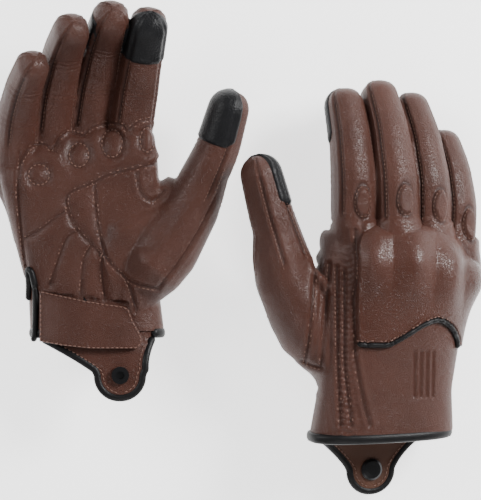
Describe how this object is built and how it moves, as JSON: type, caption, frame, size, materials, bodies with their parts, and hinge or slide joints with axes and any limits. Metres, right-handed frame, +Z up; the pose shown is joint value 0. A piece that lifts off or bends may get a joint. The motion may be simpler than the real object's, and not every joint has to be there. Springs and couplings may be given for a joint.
{
  "type": "leather riding gloves",
  "caption": "Pair of short leather riding gloves: bending finger stalls, moulded knuckle guard, quilted palm, wrist strap and a pull tab with a snap.",
  "frame": {"origin": "middle of the bounding box on the ground, between the two gloves", "axes": "+Z up from the ground, +Y the way the fingers point, +X from the glove that lies palm up to the one that lies palm down"},
  "size_m": [0.2887, 0.2966, 0.0861],
  "materials": {
    "brown_leather": "polished grain leather, dark reddish brown",
    "binding": "soft black edge binding",
    "piping": "round black cord piping",
    "hook_tape": "black hook tape",
    "loop_tape": "black loop tape",
    "snap_metal": "black enamelled steel",
    "touch_leather": "matt black touch leather",
    "lining": "thin knitted lining"
  },
  "bodies": {
    "palmup_hand": {"palmup_back_panel": "brown_leather", "palmup_cuff_panel": "brown_leather", "palmup_palm_panel": "brown_leather", "palmup_lining": "lining", "palmup_thumb_root": "brown_leather", "palmup_thumb_base": "brown_leather", "palmup_index_base": "brown_leather", "palmup_middle_base": "brown_leather", "palmup_ring_base": "brown_leather", "palmup_little_base": "brown_leather", "palmup_knuckle_guard": "brown_leather", "palmup_knuckle_pads": "brown_leather", "palmup_palm_pad": "brown_leather", "palmup_cuff_binding": "binding", "palmup_cuff_piping": "piping", "palmup_strap_loop_patch": "loop_tape", "palmup_strap_slot_trim": "piping"},
    "palmup_index_stall": {"palmup_index_tip": "brown_leather", "palmup_index_touch_patch": "touch_leather"},
    "palmup_middle_stall": {"palmup_middle_tip": "brown_leather"},
    "palmup_ring_stall": {"palmup_ring_tip": "brown_leather"},
    "palmup_little_stall": {"palmup_little_tip": "brown_leather"},
    "palmup_thumb_stall": {"palmup_thumb_tip": "brown_leather", "palmup_thumb_touch_patch": "touch_leather"},
    "palmup_strap_end": {"palmup_wrist_strap": "brown_leather", "palmup_strap_hook_patch": "hook_tape"},
    "palmup_tab": {"palmup_pull_tab": "brown_leather", "palmup_tab_binding": "binding", "palmup_snap_cap": "snap_metal", "palmup_snap_socket": "snap_metal"},
    "palmdown_hand": {"palmdown_back_panel": "brown_leather", "palmdown_cuff_panel": "brown_leather", "palmdown_palm_panel": "brown_leather", "palmdown_lining": "lining", "palmdown_thumb_root": "brown_leather", "palmdown_thumb_base": "brown_leather", "palmdown_index_base": "brown_leather", "palmdown_middle_base": "brown_leather", "palmdown_ring_base": "brown_leather", "palmdown_little_base": "brown_leather", "palmdown_knuckle_guard": "brown_leather", "palmdown_knuckle_pads": "brown_leather", "palmdown_palm_pad": "brown_leather", "palmdown_cuff_binding": "binding", "palmdown_cuff_piping": "piping", "palmdown_strap_loop_patch": "loop_tape", "palmdown_strap_slot_trim": "piping"},
    "palmdown_index_stall": {"palmdown_index_tip": "brown_leather", "palmdown_index_touch_patch": "touch_leather"},
    "palmdown_middle_stall": {"palmdown_middle_tip": "brown_leather"},
    "palmdown_ring_stall": {"palmdown_ring_tip": "brown_leather"},
    "palmdown_little_stall": {"palmdown_little_tip": "brown_leather"},
    "palmdown_thumb_stall": {"palmdown_thumb_tip": "brown_leather", "palmdown_thumb_touch_patch": "touch_leather"},
    "palmdown_strap_end": {"palmdown_wrist_strap": "brown_leather", "palmdown_strap_hook_patch": "hook_tape"},
    "palmdown_tab": {"palmdown_pull_tab": "brown_leather", "palmdown_tab_binding": "binding", "palmdown_snap_cap": "snap_metal", "palmdown_snap_socket": "snap_metal"}
  },
  "joints": [
    {"name": "palmup_index_flex", "type": "hinge", "parent": "palmup_hand", "child": "palmup_index_stall", "pos_m": [-0.0605, 0.09937, 0.03674], "axis": [0.9851, -0.1218, -0.1212], "range_deg": [-8, 60], "stiffness_Nm_per_rad": 0.03},
    {"name": "palmup_middle_flex", "type": "hinge", "parent": "palmup_hand", "child": "palmup_middle_stall", "pos_m": [-0.0859, 0.10292, 0.03395], "axis": [0.9706, -0.0863, -0.2246], "range_deg": [-8, 60], "stiffness_Nm_per_rad": 0.03},
    {"name": "palmup_ring_flex", "type": "hinge", "parent": "palmup_hand", "child": "palmup_ring_stall", "pos_m": [-0.10943, 0.09753, 0.04306], "axis": [0.9453, -0.0203, -0.3255], "range_deg": [-8, 60], "stiffness_Nm_per_rad": 0.03},
    {"name": "palmup_little_flex", "type": "hinge", "parent": "palmup_hand", "child": "palmup_little_stall", "pos_m": [-0.13069, 0.08253, 0.05198], "axis": [0.9047, 0.0557, -0.4225], "range_deg": [-8, 60], "stiffness_Nm_per_rad": 0.03},
    {"name": "palmup_thumb_flex", "type": "hinge", "parent": "palmup_hand", "child": "palmup_thumb_stall", "pos_m": [-0.01294, 0.06205, 0.03842], "axis": [0.457, -0.3214, 0.8293], "range_deg": [-8, 50], "stiffness_Nm_per_rad": 0.03},
    {"name": "palmup_strap_peel", "type": "hinge", "parent": "palmup_hand", "child": "palmup_strap_end", "pos_m": [-0.11641, -0.0375, 0.04351], "axis": [0, -1, 0], "range_deg": [0, 90], "stiffness_Nm_per_rad": 0.02},
    {"name": "palmup_tab_flex", "type": "hinge", "parent": "palmup_hand", "child": "palmup_tab", "pos_m": [-0.08413, -0.0509, 0.03388], "axis": [0.9962, 0, -0.0872], "range_deg": [0, 40], "stiffness_Nm_per_rad": 0.03},
    {"name": "palmdown_index_flex", "type": "hinge", "parent": "palmdown_hand", "child": "palmdown_index_stall", "pos_m": [0.06894, 0.044, 0.04775], "axis": [-0.9271, -0.0288, 0.3736], "range_deg": [-8, 60], "stiffness_Nm_per_rad": 0.03},
    {"name": "palmdown_middle_flex", "type": "hinge", "parent": "palmdown_hand", "child": "palmdown_middle_stall", "pos_m": [0.09324, 0.04611, 0.04504], "axis": [-0.9061, -0.0235, 0.4224], "range_deg": [-8, 60], "stiffness_Nm_per_rad": 0.03},
    {"name": "palmdown_ring_flex", "type": "hinge", "parent": "palmdown_hand", "child": "palmdown_ring_stall", "pos_m": [0.11409, 0.04248, 0.03274], "axis": [-0.8475, -0.0217, 0.5304], "range_deg": [-8, 60], "stiffness_Nm_per_rad": 0.03},
    {"name": "palmdown_little_flex", "type": "hinge", "parent": "palmdown_hand", "child": "palmdown_little_stall", "pos_m": [0.13229, 0.02906, 0.01714], "axis": [-0.7627, 0.0133, 0.6466], "range_deg": [-8, 60], "stiffness_Nm_per_rad": 0.03},
    {"name": "palmdown_thumb_flex", "type": "hinge", "parent": "palmdown_hand", "child": "palmdown_thumb_stall", "pos_m": [0.02042, 0.02217, 0.05368], "axis": [-0.7076, -0.1175, -0.6968], "range_deg": [-8, 50], "stiffness_Nm_per_rad": 0.03},
    {"name": "palmdown_strap_peel", "type": "hinge", "parent": "palmdown_hand", "child": "palmdown_strap_end", "pos_m": [0.11165, -0.09492, 0.01137], "axis": [0, -0.9945, -0.1045], "range_deg": [0, 90], "stiffness_Nm_per_rad": 0.02},
    {"name": "palmdown_tab_flex", "type": "hinge", "parent": "palmdown_hand", "child": "palmdown_tab", "pos_m": [0.08236, -0.10999, 0.02652], "axis": [-0.9511, -0.0323, 0.3073], "range_deg": [0, 40], "stiffness_Nm_per_rad": 0.03},
    {"name": "palmdown_glove_lift", "type": "slide", "parent": "palmup_hand", "child": "palmdown_hand", "axis": [0, 0, 1], "range_m": [0, 0.15]}
  ]
}
